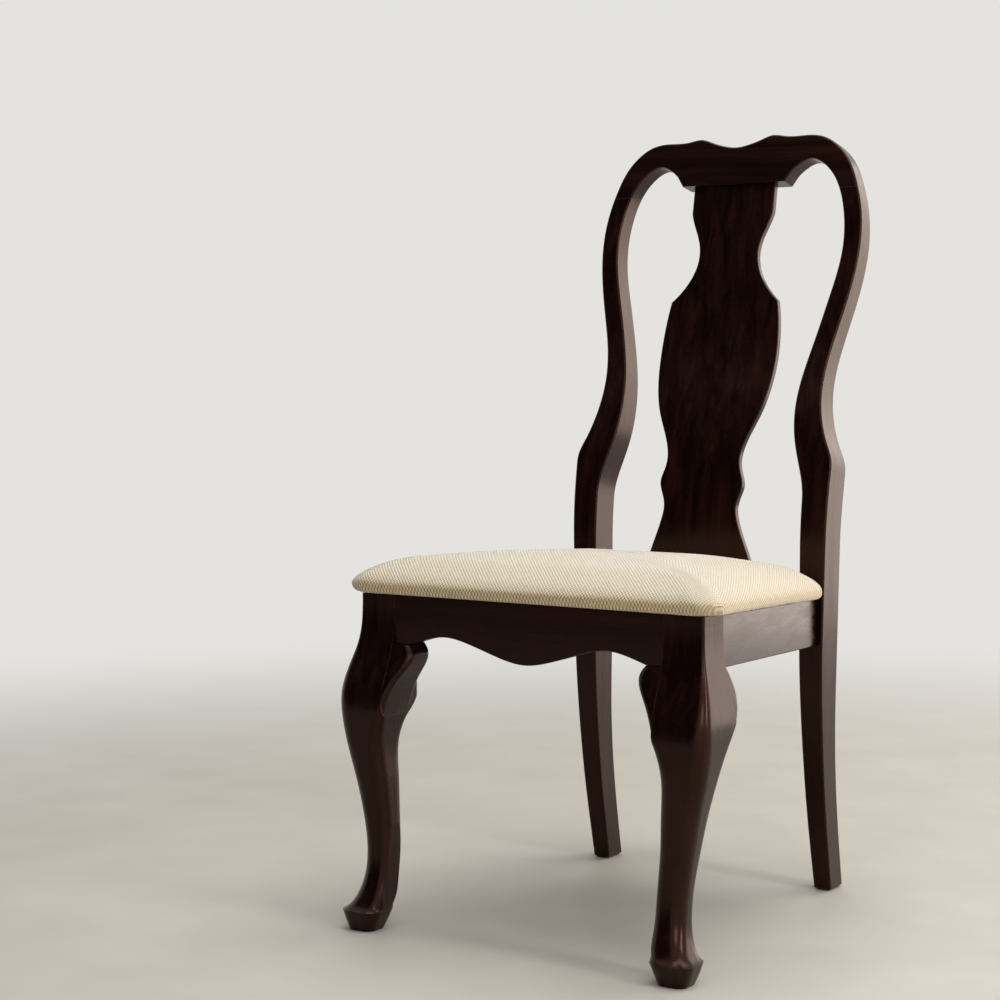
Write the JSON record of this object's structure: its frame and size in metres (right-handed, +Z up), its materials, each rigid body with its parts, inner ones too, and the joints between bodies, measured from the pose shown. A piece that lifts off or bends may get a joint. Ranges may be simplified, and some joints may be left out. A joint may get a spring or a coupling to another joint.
{
  "type": "dining chair",
  "caption": "Dining chair with cabriole front legs, scrolled knee blocks, a bowed open back with a vase-shaped splat and an upholstered seat.",
  "frame": {"origin": "on the floor, under the middle of the chair's box", "axes": "+Z up, +Y from the front of the chair to its back, +X to the right as seen from the front"},
  "size_m": [0.5294, 0.6266, 1.0356],
  "materials": {
    "frame_wood": "dark lacquer, satin gloss",
    "block_wood": "raw planed hardwood",
    "dowel_wood": "raw beech",
    "screw_steel": "zinc plated",
    "staple_steel": "bright wire",
    "plywood": "raw sanded plywood",
    "foam": null,
    "seat_fabric": "ivory dobby weave, matt",
    "dust_cloth": "thin black spun cloth"
  },
  "bodies": {
    "root": {"front_leg_left": "frame_wood", "front_leg_right": "frame_wood", "knee_block_front_left": "frame_wood", "knee_block_front_right": "frame_wood", "knee_block_side_left": "frame_wood", "knee_block_side_right": "frame_wood", "front_seat_rail": "frame_wood", "side_seat_rail_left": "frame_wood", "side_seat_rail_right": "frame_wood", "rear_seat_rail": "frame_wood", "back_post_left": "frame_wood", "back_post_right": "frame_wood", "crest_rail": "frame_wood", "back_splat": "frame_wood", "corner_block_front_left": "block_wood", "corner_block_front_right": "block_wood", "corner_block_rear_left": "block_wood", "corner_block_rear_right": "block_wood", "front_rail_dowels": "dowel_wood", "side_rail_dowels": "dowel_wood", "rear_rail_dowels": "dowel_wood", "crest_dowels": "dowel_wood", "corner_block_screws": "screw_steel", "seat_screws": "screw_steel", "cover_staples": "staple_steel", "seat_board": "plywood", "seat_foam": "foam", "seat_cover": "seat_fabric", "dust_cover": "dust_cloth"}
  },
  "joints": []
}
